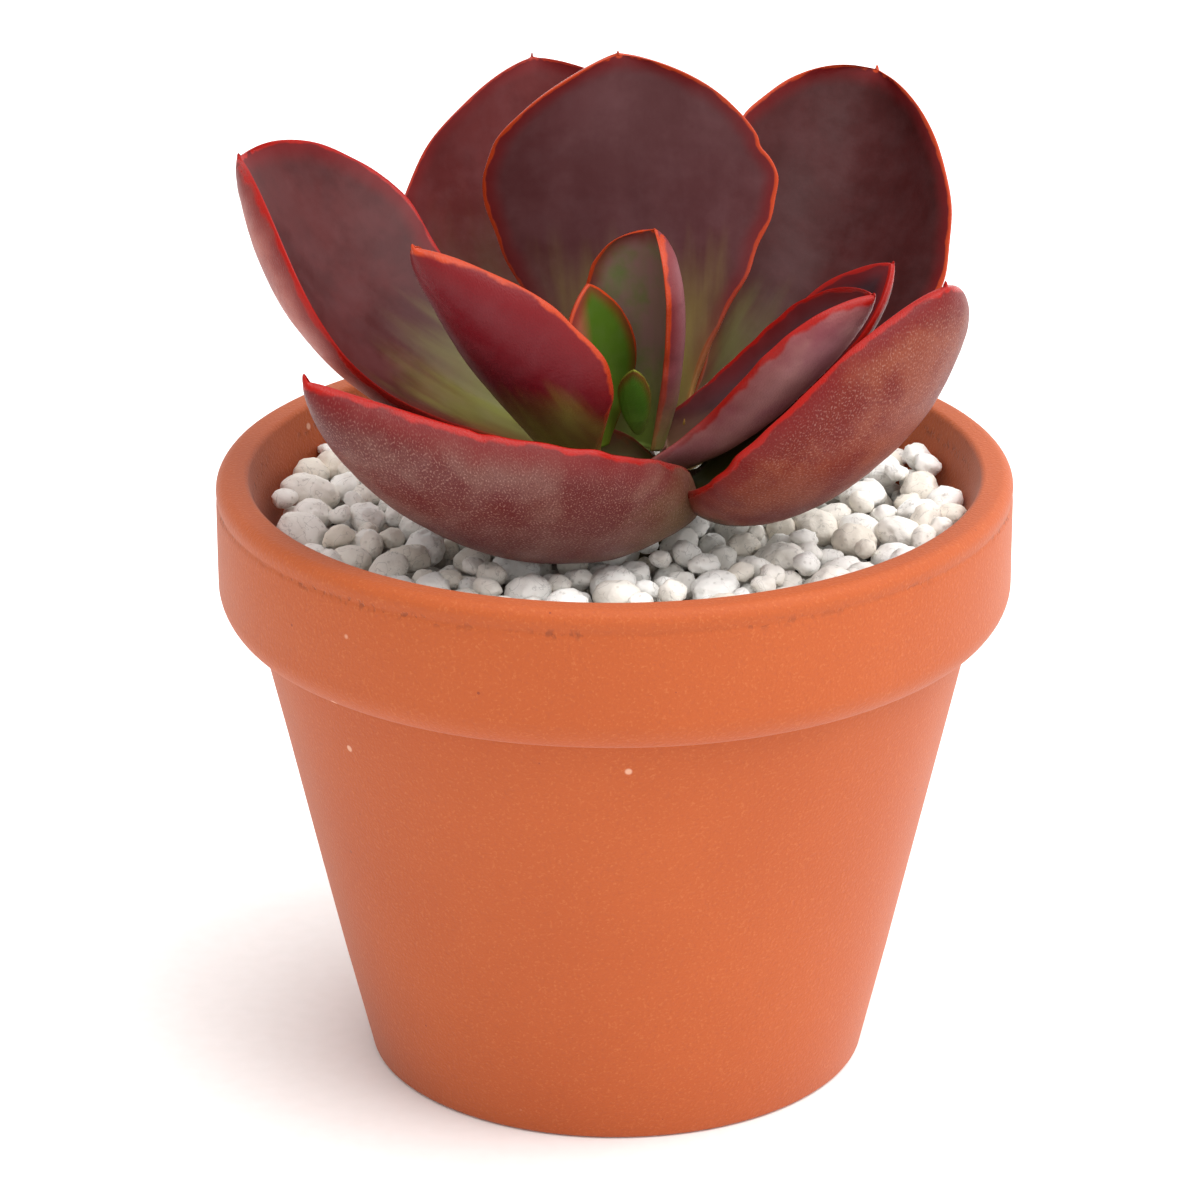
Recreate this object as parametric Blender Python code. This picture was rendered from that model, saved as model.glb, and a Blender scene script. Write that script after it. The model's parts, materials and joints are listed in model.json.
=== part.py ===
"""Potted succulent: a rosette of fleshy leaves on a short stem, planted in a clay pot.

The frame: +Z up, the origin at the centre of the pot's foot, metres throughout. The sizes
below are in millimetres and degrees, and MM turns them into metres.
"""
import math
import random

import bmesh
import bpy
from mathutils import Vector
from mathutils.bvhtree import BVHTree

MM = 0.001
GAP = 0.3                    # clearance between two pieces that touch

# Clay pot
POT_HEIGHT = 86.0
RIM_RADIUS = 55.0            # outside of the rim band
LIP_ROUND = 1.8
MOUTH_RADIUS = 50.4          # inside edge of the lip
BAND_HEIGHT = 20.5           # rim band, from the lip down to its step
BAND_FOOT_ROUND = 5.0        # big round on the band's lower corner
SHOULDER_RADIUS = 49.9       # body just under the band
FOOT_RADIUS = 35.0
FLOOR_THICKNESS = 6.0
FLOOR_INNER_RADIUS = 30.0
FLOOR_BEVEL = 3.0            # slope between the inside wall and the floor
FOOT_BEVEL = 0.9
DRAIN_RADIUS = 6.0
POT_SEGMENTS = 64

# What fills it
SOIL_TOP = 69.5
BED_TOP = 76.2
BED_RELIEF = 0.5             # height of the lumps in the bed of stones
PEBBLE_FLOOR = 77.1
PEBBLE_TOP = 82.0
PEBBLE_COUNT = 40

# Stem, a little in front and to the right of the pot's middle
STEM_X = 3.5
STEM_Y = -6.0
STEM_RADIUS = 4.2
STEM_FOOT = 58.0
STEM_TOP = 90.0

# Leaves
LEAF_ROWS = 15
LEAF_SIDES = 12
UPPER_SWELL = 0.6            # how far each face bulges, as a share of half the thickness
UNDER_SWELL = 1.4
POINT_SHARE = 0.035          # length of the small point at the tip, as a share of the blade

# Stones
PEBBLE_HALF_LENGTH = (2.9, 3.9)
PEBBLE_HALF_WIDTH = (2.5, 3.2)
PEBBLE_HALF_HEIGHT = (1.9, 2.35)
PEBBLE_LUMPS = 5
PEBBLE_LUMP_SIZE = (-0.22, 0.18)
PEBBLE_TILT = 0.3            # radians
PEBBLE_RING = 22.0           # the stones lie within this distance of the wall


class Leaf:
    """One leaf's sizes. Its blade starts beside the stem and curves up as it runs outwards."""

    def __init__(self, azimuth, foot, lift, length, half_width, cup, roll, widest, base, waist,
                 thickness, sweep=0.0):
        self.azimuth = azimuth          # way it points, anticlockwise from +X
        self.foot = foot                # side of the stem, distance from it, height above the lip
        self.lift = lift                # slope of the blade at its foot and at its tip
        self.length = length
        self.half_width = half_width
        self.cup = cup                  # half angle of its trough, at foot and tip
        self.roll = roll                # turn about its own length, at foot and tip
        self.widest = widest            # where the blade is widest, as a share of the length
        self.base = base                # width of the foot, as a share of the widest
        self.waist = waist              # 2 draws the foot in like a spoon's neck, 1 keeps it full
        self.thickness = thickness
        self.sweep = sweep              # sideways bend of the tip, as a share of the length


LEAVES = {
    "leaf_front_left": Leaf(azimuth=209, foot=(302, 10.5, 0.25), lift=(-18, 70), length=66,
        half_width=25, cup=(98, 89), roll=(0, -3), sweep=0.08, widest=0.4, base=0.35, waist=0.6,
        thickness=4.5),
    "leaf_front_right": Leaf(azimuth=-46, foot=(344, 8.25, 1.5), lift=(-9, 97), length=56.5,
        half_width=21, cup=(63, 34), roll=(-15, -4), sweep=-0.19, widest=0.58, base=0.14, waist=1.3,
        thickness=4.5),
    "leaf_left": Leaf(azimuth=180, foot=(135, 6.5, 4), lift=(12, 66), length=66.5, half_width=21,
        cup=(28, 36), roll=(41, 12), sweep=0.07, widest=0.71, base=0.24, waist=2.6, thickness=4.5),
    "leaf_right_back": Leaf(azimuth=35, foot=(63, 9, 0.5), lift=(25, 67), length=65.5, half_width=24,
        cup=(68, 73), roll=(-46, -28), sweep=-0.18, widest=0.67, base=0.17, waist=1.9, thickness=4.5),
    "leaf_back_left": Leaf(azimuth=112, foot=(96, 9.75, -1.75), lift=(30, 74), length=64.5,
        half_width=24.5, cup=(13, 35), roll=(17, 1), sweep=0.01, widest=0.63, base=0.15, waist=2.4,
        thickness=4.5),
    "leaf_right": Leaf(azimuth=-13, foot=(310, 6, 4.75), lift=(31, 56), length=40, half_width=11.5,
        cup=(62, 76), roll=(-3, 11), sweep=0.1, widest=0.67, base=0.39, waist=2.2, thickness=4),
    "leaf_right_upper": Leaf(azimuth=-12, foot=(33, 5.75, 2.75), lift=(28, 61), length=42,
        half_width=7.5, cup=(88, 32), roll=(-34, -42), sweep=-0.06, widest=0.67, base=0.22, waist=1.9,
        thickness=3.6),
    "leaf_back_center": Leaf(azimuth=94, foot=(58, 3, 4.5), lift=(46, 102), length=56, half_width=21,
        cup=(16, 35), roll=(47, -10), sweep=-0.06, widest=0.69, base=0.25, waist=1.9, thickness=4.5),
    "leaf_inner_left": Leaf(azimuth=233, foot=(234, 10.25, 4), lift=(45, 65), length=46.5,
        half_width=14.5, cup=(24, 76), roll=(4, 4), sweep=0.21, widest=0.55, base=0.17, waist=2.1,
        thickness=4),
    "leaf_inner_back": Leaf(azimuth=128, foot=(231, 9, 7.5), lift=(92, 81), length=23.5, half_width=7,
        cup=(20, 12), roll=(-15, -3), sweep=-0.02, widest=0.53, base=0.29, waist=1.3, thickness=2.8),
    "leaf_inner_right": Leaf(azimuth=35, foot=(307, 1.25, 5.75), lift=(76, 100), length=31,
        half_width=8, cup=(78, 80), roll=(0, 6), sweep=0.02, widest=0.74, base=0.39, waist=1.4,
        thickness=3),
    "leaf_core": Leaf(azimuth=252, foot=(267, 5.5, 9.25), lift=(62, 59), length=13, half_width=2.5,
        cup=(77, 30), roll=(0, -13), sweep=-0.11, widest=0.5, base=0.17, waist=0.7, thickness=1.6),
}

LEAF_TONES = {
    "leaf_inner_back": (0.16, 0.22, 0.05),
    "leaf_inner_right": (0.20, 0.20, 0.07),
    "leaf_core": (0.22, 0.34, 0.06),
}
LEAF_TONE = (0.15, 0.035, 0.04)


def clear_scene():
    for thing in list(bpy.data.objects):
        bpy.data.objects.remove(thing, do_unlink=True)


def finish(name, color, roughness):
    """A plain material of one colour, named for what it coats."""
    material = bpy.data.materials.new(name)
    material.use_nodes = True
    shader = material.node_tree.nodes["Principled BSDF"]
    shader.inputs["Base Color"].default_value = (*color, 1.0)
    shader.inputs["Roughness"].default_value = roughness
    shader.inputs["Metallic"].default_value = 0.0
    return material


def add_object(name, bm, material, sharp_angle=None):
    """Put a bmesh, drawn in millimetres, into the scene as one named object in metres."""
    bmesh.ops.scale(bm, vec=(MM, MM, MM), verts=bm.verts)
    bmesh.ops.recalc_face_normals(bm, faces=bm.faces)
    mesh = bpy.data.meshes.new(name)
    bm.to_mesh(mesh)
    bm.free()
    mesh.shade_smooth()
    if sharp_angle is not None:
        mesh.set_sharp_from_angle(angle=math.radians(sharp_angle))
    mesh.materials.append(material)
    piece = bpy.data.objects.new(name, mesh)
    bpy.context.collection.objects.link(piece)
    return piece


def arc(center, radius, start, end, steps):
    """Points of an arc in the (radius, height) plane, angles in degrees."""
    angles = [math.radians(start + (end - start) * i / steps) for i in range(steps + 1)]
    return [(center[0] + radius * math.cos(a), center[1] + radius * math.sin(a)) for a in angles]


def turn(profile, segments, closed):
    """Turn a (radius, height) outline about Z. An open outline has both ends on the axis."""
    bm = bmesh.new()
    rings = []
    for radius, height in profile:
        if radius == 0:
            rings.append([bm.verts.new((0, 0, height))])
            continue
        angles = [2 * math.pi * i / segments for i in range(segments)]
        rings.append([bm.verts.new((radius * math.cos(a), radius * math.sin(a), height)) for a in angles])
    pairs = list(zip(rings, rings[1:]))
    if closed:
        pairs.append((rings[-1], rings[0]))
    for low, high in pairs:
        for i in range(segments):
            corners = [low[i % len(low)], low[(i + 1) % len(low)],
                       high[(i + 1) % len(high)], high[i % len(high)]]
            bm.faces.new(list(dict.fromkeys(corners)))
    return bm


def inner_wall_radius(height):
    """Radius of the pot's inside wall, a straight taper from the floor to the mouth."""
    share = (height - FLOOR_THICKNESS) / (POT_HEIGHT - LIP_ROUND / 2 - FLOOR_THICKNESS)
    return FLOOR_INNER_RADIUS + (MOUTH_RADIUS - FLOOR_INNER_RADIUS) * share


def make_pot():
    step = POT_HEIGHT - BAND_HEIGHT
    band_foot = (RIM_RADIUS - BAND_FOOT_ROUND, step + BAND_FOOT_ROUND)
    lip_outer = (RIM_RADIUS - LIP_ROUND, POT_HEIGHT - LIP_ROUND)
    lip_inner = (MOUTH_RADIUS + LIP_ROUND / 2, POT_HEIGHT - LIP_ROUND / 2)
    profile = [(DRAIN_RADIUS, 0.0), (FOOT_RADIUS - FOOT_BEVEL, 0.0), (FOOT_RADIUS, FOOT_BEVEL)]
    profile += [(SHOULDER_RADIUS, step)]
    profile += arc(band_foot, BAND_FOOT_ROUND, -72, 0, 5)
    profile += arc(lip_outer, LIP_ROUND, 0, 90, 3)
    profile += arc(lip_inner, LIP_ROUND / 2, 90, 180, 2)
    bevel_top = FLOOR_THICKNESS + FLOOR_BEVEL
    profile += [(inner_wall_radius(bevel_top), bevel_top)]
    profile += [(FLOOR_INNER_RADIUS - FLOOR_BEVEL, FLOOR_THICKNESS), (DRAIN_RADIUS, FLOOR_THICKNESS)]
    clay = finish("terracotta", (0.69, 0.22, 0.09), 0.85)
    return add_object("pot", turn(profile, POT_SEGMENTS, closed=True), clay, sharp_angle=40)


def stem_socket(name, bottom, top):
    """Cutter that leaves room for the stem."""
    bm = bmesh.new()
    bmesh.ops.create_cone(bm, cap_ends=True, segments=20, depth=(top - bottom),
                          radius1=STEM_RADIUS + 2 * GAP, radius2=STEM_RADIUS + 2 * GAP)
    bmesh.ops.translate(bm, verts=bm.verts, vec=(STEM_X, STEM_Y, (top + bottom) / 2))
    cutter = add_object(name, bm, finish(name, (0.5, 0.5, 0.5), 1.0))
    cutter.hide_render = True
    cutter.display_type = "WIRE"
    return cutter


def cut(piece, cutter):
    modifier = piece.modifiers.new("stem socket", "BOOLEAN")
    modifier.operation = "DIFFERENCE"
    modifier.solver = "EXACT"
    modifier.object = cutter


def make_soil():
    low = FLOOR_THICKNESS + GAP
    profile = [(0, low), (FLOOR_INNER_RADIUS - FLOOR_BEVEL - GAP, low)]
    for height in (low + FLOOR_BEVEL, SOIL_TOP):
        profile.append((inner_wall_radius(height) - 1.2 * GAP, height))
    profile.append((0, SOIL_TOP))
    soil = finish("potting_mix", (0.05, 0.03, 0.02), 0.95)
    piece = add_object("potting_soil", turn(profile, POT_SEGMENTS, closed=False), soil, sharp_angle=40)
    cut(piece, stem_socket("soil_socket", STEM_FOOT - GAP, SOIL_TOP + 5.0))
    return piece


def make_gravel_bed():
    """The lower stones, which nobody sees one by one, as a single lumpy disc."""
    low = SOIL_TOP + GAP
    edge = inner_wall_radius(BED_TOP) - 1.2 * GAP
    rings = 5
    profile = [(0, low), (inner_wall_radius(low) - 1.2 * GAP, low)]
    profile += [(edge * ring / rings, BED_TOP) for ring in range(rings, -1, -1)]
    bm = turn(profile, POT_SEGMENTS, closed=False)
    chance = random.Random(11)
    for vert in bm.verts:
        if vert.co.z > low + 1.0:
            vert.co.z += chance.uniform(-BED_RELIEF, BED_RELIEF)
    stone = finish("gravel", (0.62, 0.58, 0.52), 0.9)
    piece = add_object("gravel_bed", bm, stone)
    cut(piece, stem_socket("bed_socket", low - 5.0, BED_TOP + 5.0))
    return piece


def make_stem():
    """Short woody stem, ringed by the scars of old leaves, with a rounded growing tip."""
    profile = [(0, STEM_FOOT), (STEM_RADIUS * 0.8, STEM_FOOT)]
    scar_rows = 7
    first, last = STEM_FOOT + 2.0, STEM_TOP - 4.0
    for row in range(scar_rows):
        height = first + (last - first) * row / (scar_rows - 1)
        profile.append((STEM_RADIUS * (1.0 if row % 2 else 0.93), height))
    profile += [(STEM_RADIUS * 0.6, STEM_TOP - 1.2), (0, STEM_TOP)]
    bm = turn(profile, 16, closed=False)
    bmesh.ops.translate(bm, verts=bm.verts, vec=(STEM_X, STEM_Y, 0))
    return add_object("stem", bm, finish("stem_bark", (0.16, 0.13, 0.05), 0.8))


def outline(leaf, t):
    """Half width of the blade at t along it: a narrow foot, a broad blade and a small point."""
    if t < leaf.widest:
        return leaf.base + (1 - leaf.base) * math.sin(math.pi / 2 * t / leaf.widest) ** leaf.waist
    x = (t - leaf.widest) / (1 - leaf.widest)
    return (1 - x * x) ** 0.8 * (1 - math.exp(-(1 - x) / POINT_SHARE))


def blend(pair, t):
    return pair[0] + (pair[1] - pair[0]) * t


def leaf_thickness(leaf, t):
    """Thin where it joins the stem, full in the lower blade and running out to nothing at the tip."""
    return leaf.thickness * min(1.0, 0.55 + 2.0 * t) * (1 - 0.3 * t) * math.sqrt(max(0.0, 1 - t ** 6))


def leaf_point(leaf, t, angle):
    """A point of the leaf's skin at t along it; angle 0 is the right margin, 90 the upper face."""
    start, end = (math.radians(a) for a in leaf.lift)
    bend = (end - start) or 1e-4
    slope = start + bend * t
    out = leaf.length * (math.sin(slope) - math.sin(start)) / bend
    up = leaf.length * (math.cos(start) - math.cos(slope)) / bend
    side = leaf.sweep * leaf.length * t * t

    half_width = leaf.half_width * outline(leaf, t)
    cup = math.radians(blend(leaf.cup, t))
    across = math.cos(angle) * cup
    bow = half_width / cup
    lateral = bow * math.sin(across)
    normal = bow * (1 - math.cos(across))
    swell = math.sin(angle) * (UPPER_SWELL if math.sin(angle) > 0 else UNDER_SWELL)
    swell *= leaf_thickness(leaf, t) / 2
    lateral -= swell * math.sin(across)
    normal += swell * math.cos(across)

    roll = math.radians(blend(leaf.roll, t))
    side_way = Vector((math.cos(roll), -math.sin(slope) * math.sin(roll), math.cos(slope) * math.sin(roll)))
    face_way = Vector((-math.sin(roll), -math.sin(slope) * math.cos(roll), math.cos(slope) * math.cos(roll)))
    point = Vector((side, out, up)) + lateral * side_way + normal * face_way

    azimuth = math.radians(leaf.azimuth)
    ahead = Vector((math.cos(azimuth), math.sin(azimuth), 0))
    right = Vector((math.sin(azimuth), -math.cos(azimuth), 0))
    side_of_stem, reach, height = leaf.foot
    foot = Vector((STEM_X + reach * math.cos(math.radians(side_of_stem)),
                   STEM_Y + reach * math.sin(math.radians(side_of_stem)), POT_HEIGHT + height))
    return foot + right * point.x + ahead * point.y + Vector((0, 0, point.z))


def make_leaf(name, leaf):
    bm = bmesh.new()
    angles = [2 * math.pi * k / LEAF_SIDES for k in range(LEAF_SIDES)]
    rows = []
    for row in range(LEAF_ROWS):
        t = 1 - (1 - row / LEAF_ROWS) ** 1.5
        rows.append([bm.verts.new(leaf_point(leaf, t, a)) for a in angles])
    foot = bm.verts.new(sum((v.co for v in rows[0]), Vector()) / LEAF_SIDES)
    tip = bm.verts.new(leaf_point(leaf, 1.0, 0.0))
    for k in range(LEAF_SIDES):
        j = (k + 1) % LEAF_SIDES
        bm.faces.new((rows[0][j], rows[0][k], foot))
        for low, high in zip(rows, rows[1:]):
            bm.faces.new((low[k], low[j], high[j], high[k]))
        bm.faces.new((rows[-1][k], rows[-1][j], tip))
    tone = finish(name + "_skin", LEAF_TONES.get(name, LEAF_TONE), 0.45)
    return add_object(name, bm, tone)


def tree_of(pieces):
    """One search tree over the pieces' meshes, for measuring how near something comes."""
    verts, polygons = [], []
    for piece in pieces:
        first = len(verts)
        verts += [v.co.copy() for v in piece.data.vertices]
        polygons += [[first + i for i in p.vertices] for p in piece.data.polygons]
    return BVHTree.FromPolygons(verts, polygons)


def pebble_mesh(chance, center, axes):
    """A tumbled stone: a ball pushed in and out at random, flattened and turned."""
    bm = bmesh.new()
    bmesh.ops.create_icosphere(bm, subdivisions=2, radius=1.0)
    lumps = [(Vector([chance.gauss(0, 1) for _ in range(3)]).normalized(), chance.uniform(*PEBBLE_LUMP_SIZE))
             for _ in range(PEBBLE_LUMPS)]
    for vert in bm.verts:
        push = sum(size * max(0.0, way.dot(vert.co)) ** 3 for way, size in lumps)
        vert.co *= 1 + push
    turned = chance.uniform(0, math.pi)
    tilted = chance.uniform(-PEBBLE_TILT, PEBBLE_TILT)
    bmesh.ops.scale(bm, vec=axes, verts=bm.verts)
    for vert in bm.verts:
        x, y, z = vert.co
        x, z = x * math.cos(tilted) - z * math.sin(tilted), x * math.sin(tilted) + z * math.cos(tilted)
        x, y = x * math.cos(turned) - y * math.sin(turned), x * math.sin(turned) + y * math.cos(turned)
        vert.co = (x, y, z)
    reach = max(math.hypot(v.co.x, v.co.y) for v in bm.verts)
    low = min(v.co.z for v in bm.verts)
    high = max(v.co.z for v in bm.verts)
    bmesh.ops.translate(bm, verts=bm.verts, vec=(center[0], center[1], PEBBLE_FLOOR - low))
    return bm, reach, PEBBLE_FLOOR + high - low


def make_pebbles(leaves, stem):
    """The bigger stones of the top dressing, dropped one by one where there is room."""
    chance = random.Random(4)
    obstacles = tree_of(leaves + [stem])
    stone = finish("white_pebble", (0.80, 0.78, 0.73), 0.85)
    placed = []
    wall = inner_wall_radius(PEBBLE_FLOOR)
    while len(placed) < PEBBLE_COUNT:
        way = chance.uniform(0, 2 * math.pi)
        radius = wall - PEBBLE_HALF_LENGTH[1] - PEBBLE_RING * chance.random() ** 1.3
        center = (radius * math.cos(way), radius * math.sin(way))
        axes = [chance.uniform(*size) for size in (PEBBLE_HALF_LENGTH, PEBBLE_HALF_WIDTH, PEBBLE_HALF_HEIGHT)]
        bm, reach, top = pebble_mesh(chance, center, axes)
        fits = radius + reach < wall - GAP and top < PEBBLE_TOP
        fits = fits and all(math.dist(center, c) > reach + r + GAP for c, r in placed)
        if fits:
            nearest = min(obstacles.find_nearest(v.co * MM)[3] for v in bm.verts)
            fits = nearest > GAP * MM
        if not fits:
            bm.free()
            continue
        placed.append((center, reach))
        add_object("pebble_%02d" % len(placed), bm, stone)


clear_scene()
make_pot()
make_soil()
make_gravel_bed()
stem = make_stem()
leaves = [make_leaf(name, leaf) for name, leaf in LEAVES.items()]
make_pebbles(leaves, stem)
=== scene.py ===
"""Potted succulent: the finished look of a plum-red rosette in a clay pot dressed with white stones."""
import json
import math
import random

import bmesh
import bpy
import numpy as np
from mathutils import Matrix, Vector, noise
from mathutils.bvhtree import BVHTree

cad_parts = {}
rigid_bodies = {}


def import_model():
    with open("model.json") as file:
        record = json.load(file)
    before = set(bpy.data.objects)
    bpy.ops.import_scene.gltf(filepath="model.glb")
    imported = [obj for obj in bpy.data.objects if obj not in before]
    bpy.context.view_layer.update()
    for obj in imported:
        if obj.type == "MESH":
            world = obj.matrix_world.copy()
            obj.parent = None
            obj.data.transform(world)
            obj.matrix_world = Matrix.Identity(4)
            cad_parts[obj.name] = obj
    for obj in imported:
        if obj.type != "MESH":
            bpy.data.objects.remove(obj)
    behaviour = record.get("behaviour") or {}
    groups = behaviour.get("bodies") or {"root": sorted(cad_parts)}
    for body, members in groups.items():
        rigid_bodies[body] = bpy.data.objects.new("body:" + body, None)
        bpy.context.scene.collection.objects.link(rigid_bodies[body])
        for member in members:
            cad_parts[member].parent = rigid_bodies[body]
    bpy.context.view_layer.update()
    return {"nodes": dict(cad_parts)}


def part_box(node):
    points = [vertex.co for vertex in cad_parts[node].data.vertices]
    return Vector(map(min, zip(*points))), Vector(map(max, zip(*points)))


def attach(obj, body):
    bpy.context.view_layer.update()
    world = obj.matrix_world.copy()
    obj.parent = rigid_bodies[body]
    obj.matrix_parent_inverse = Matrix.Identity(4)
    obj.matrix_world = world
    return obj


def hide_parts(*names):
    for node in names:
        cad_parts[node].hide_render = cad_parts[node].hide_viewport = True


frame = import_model()
MM = 0.001


# ---------------------------------------------------------------- camera, light and floor
# The pot stands on a sheet of white card and is looked at with a long lens from a little above the
# rim. A big soft light stands at the right, high up, and white walls all round fill the shadows.
# The camera's numbers came out of a separate fitting program and were rounded.

def paint(code):
    """A hex colour, as a screen shows it, turned to linear light."""
    channels = [int(code[i:i + 2], 16) / 255 for i in (1, 3, 5)]
    return (*[c / 12.92 if c <= 0.04045 else ((c + 0.055) / 1.055) ** 2.4 for c in channels], 1.0)


def add(tree, kind, *values, out=0, **settings):
    """Add a node and give back its output number out, or all its outputs if out is None.

    Plain values fill its sockets in order. A setting that starts with a capital names a socket, the
    others are the node's own options. A value may be another node's output."""
    node = tree.nodes.new(kind)
    for key, value in settings.items():
        if key[0].islower():
            setattr(node, key, value)
    shown = [socket for socket in node.inputs if socket.enabled]
    pairs = [pair for pair in zip(shown, values) if pair[1] is not None]
    for key, value in settings.items():
        if not key[0].islower():
            pairs.append((next(s for s in shown if s.name == key.replace("_", " ")), value))
    for socket, value in pairs:
        if isinstance(value, bpy.types.NodeSocket):
            tree.links.new(value, socket)
        else:
            socket.default_value = value
    outputs = [socket for socket in node.outputs if socket.enabled]
    return outputs if out is None else outputs[out]


def new_material(name, roughness):
    """A material with one Principled shader: gives back the material, its tree and the shader."""
    material = bpy.data.materials.new(name)
    material.use_nodes = True
    shader = material.node_tree.nodes["Principled BSDF"]
    shader.inputs["Roughness"].default_value = roughness
    return material, material.node_tree, shader


RIM_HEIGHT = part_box("pot")[1].z
LENS = 166.4                  # millimetres, on a 36 mm sensor
DISTANCE = 0.7659             # from the middle of the rim
ELEVATION = math.radians(20.24)
LOOK_DOWN = math.radians(21.62)
LOOK_ASIDE = math.radians(0.167)
LEAN = math.radians(-0.276)
LEFT_WALL_LIGHT = 0.66
RIGHT_WALL_LIGHT = 1.6

camera_data = bpy.data.cameras.new("camera")
camera_data.lens = LENS
camera_data.sensor_width = 36.0
camera_data.clip_end = 20.0
camera = bpy.data.objects.new("camera", camera_data)
bpy.context.collection.objects.link(camera)
away = Vector((0.0, -DISTANCE * math.cos(ELEVATION), DISTANCE * math.sin(ELEVATION)))
camera.matrix_world = (Matrix.Translation(Vector((0.0, 0.0, RIM_HEIGHT)) + away)
                       @ Matrix.Rotation(LOOK_ASIDE, 4, "Z")
                       @ Matrix.Rotation(math.pi / 2 - LOOK_DOWN, 4, "X")
                       @ Matrix.Rotation(LEAN, 4, "Z"))
bpy.context.scene.camera = camera
bpy.context.scene.view_settings.view_transform = "Standard"

world = bpy.data.worlds.new("white_studio")
world.use_nodes = True
tree = world.node_tree
sideways = add(tree, "ShaderNodeSeparateXYZ", add(tree, "ShaderNodeTexCoord", out=0), out=0)
wall_light = add(tree, "ShaderNodeMapRange", sideways, -0.9, 0.9, LEFT_WALL_LIGHT, RIGHT_WALL_LIGHT,
                 interpolation_type="SMOOTHSTEP")
tree.links.new(wall_light, tree.nodes["Background"].inputs["Strength"])
tree.nodes["Background"].inputs["Color"].default_value = paint("#FFFFFF")
bpy.context.scene.world = world


def lamp(name, direction, strength, spread):
    """A far soft light that comes from that direction. Spread is how wide it looks, in degrees."""
    light = bpy.data.lights.new(name, "SUN")
    light.energy = strength
    light.angle = math.radians(spread)
    holder = bpy.data.objects.new(name, light)
    holder.rotation_mode = "QUATERNION"
    holder.rotation_quaternion = Vector(direction).to_track_quat("Z", "Y")
    bpy.context.collection.objects.link(holder)


lamp("key_light", (0.66, -0.34, 1.20), 1.45, 45)
lamp("top_light", (0.10, -0.05, 1.00), 1.2, 55)

floor_mesh = bpy.data.meshes.new("floor")
floor_mesh.from_pydata([(-6, -6, 0), (6, -6, 0), (6, 6, 0), (-6, 6, 0)], [], [(0, 1, 2, 3)])
floor = bpy.data.objects.new("floor", floor_mesh)
bpy.context.collection.objects.link(floor)
card, tree, shader = new_material("white_card", 0.9)
place = add(tree, "ShaderNodeTexCoord", out=3)
fibres = add(tree, "ShaderNodeTexNoise", place, Scale=400.0, Detail=2.0)
tree.links.new(add(tree, "ShaderNodeMix", fibres, data_type="RGBA",
                   A=paint("#F4F3F1"), B=paint("#FAF9F8")), shader.inputs["Base Color"])
floor_mesh.materials.append(card)


# ---------------------------------------------------------------- clay pot
# One piece of unglazed earthenware, pressed in a mould and fired: a tapered body under a raised rim
# band with a drain hole in its floor. A trimming line with small pits runs round just under the lip.

RIM_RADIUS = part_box("pot")[1].x
LIP_ROUND = 1.8 * MM
MOUTH_RADIUS = 50.4 * MM
BAND_HEIGHT = 20.5 * MM
BAND_FOOT_ROUND = 5.0 * MM
SHOULDER_RADIUS = 49.9 * MM
FOOT_RADIUS = 35.0 * MM
FLOOR_THICKNESS = 6.0 * MM
FLOOR_INNER_RADIUS = 30.0 * MM
DRAIN_RADIUS = 6.0 * MM
TRIM_LINE = RIM_HEIGHT - 3.1 * MM
TURNING_RADIUS = 1.0 * MM     # the circle that carries the profile round


def arc(center, radius, start, end, steps):
    """Points of an arc in the (radius, height) plane, angles in degrees."""
    angles = [math.radians(start + (end - start) * i / steps) for i in range(steps + 1)]
    return [(center[0] + radius * math.cos(a), center[1] + radius * math.sin(a)) for a in angles]


def inner_wall_radius(height):
    share = (height - FLOOR_THICKNESS) / (RIM_HEIGHT - LIP_ROUND / 2 - FLOOR_THICKNESS)
    return FLOOR_INNER_RADIUS + (MOUTH_RADIUS - FLOOR_INNER_RADIUS) * share


def new_tree(name, inputs):
    """A geometry tree with named inputs: gives back the tree, its incoming geometry and its inputs."""
    tree = bpy.data.node_groups.new(name, "GeometryNodeTree")
    tree.interface.new_socket(name="Geometry", in_out="INPUT", socket_type="NodeSocketGeometry")
    for label, kind in inputs.items():
        tree.interface.new_socket(name=label, in_out="INPUT", socket_type="NodeSocket" + kind)
    tree.interface.new_socket(name="Geometry", in_out="OUTPUT", socket_type="NodeSocketGeometry")
    entry = tree.nodes.new("NodeGroupInput")
    return tree, entry.outputs[0], {label: entry.outputs[label] for label in inputs}


def close_tree(tree, geometry, material):
    """End a geometry tree: real meshes instead of instances, smooth, in one material."""
    geometry = add(tree, "GeometryNodeRealizeInstances", geometry)
    geometry = add(tree, "GeometryNodeSetShadeSmooth", geometry, Shade_Smooth=True)
    geometry = add(tree, "GeometryNodeSetMaterial", geometry, Material=material)
    tree.links.new(geometry, tree.nodes.new("NodeGroupOutput").inputs[0])


def grow(name, mesh, tree, values):
    """Run a geometry tree on a mesh with these input values and keep the result as a plain mesh."""
    piece = bpy.data.objects.new(name, mesh)
    bpy.context.collection.objects.link(piece)
    modifier = piece.modifiers.new(name, "NODES")
    modifier.node_group = tree
    identifiers = {item.name: item.identifier for item in tree.interface.items_tree
                   if item.in_out == "INPUT"}
    for label, value in values.items():
        modifier[identifiers[label]] = value
    ready = piece.evaluated_get(bpy.context.evaluated_depsgraph_get())
    grown = bpy.data.meshes.new_from_object(ready)
    piece.modifiers.remove(modifier)
    piece.data = grown
    grown.name = name
    return piece


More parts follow.
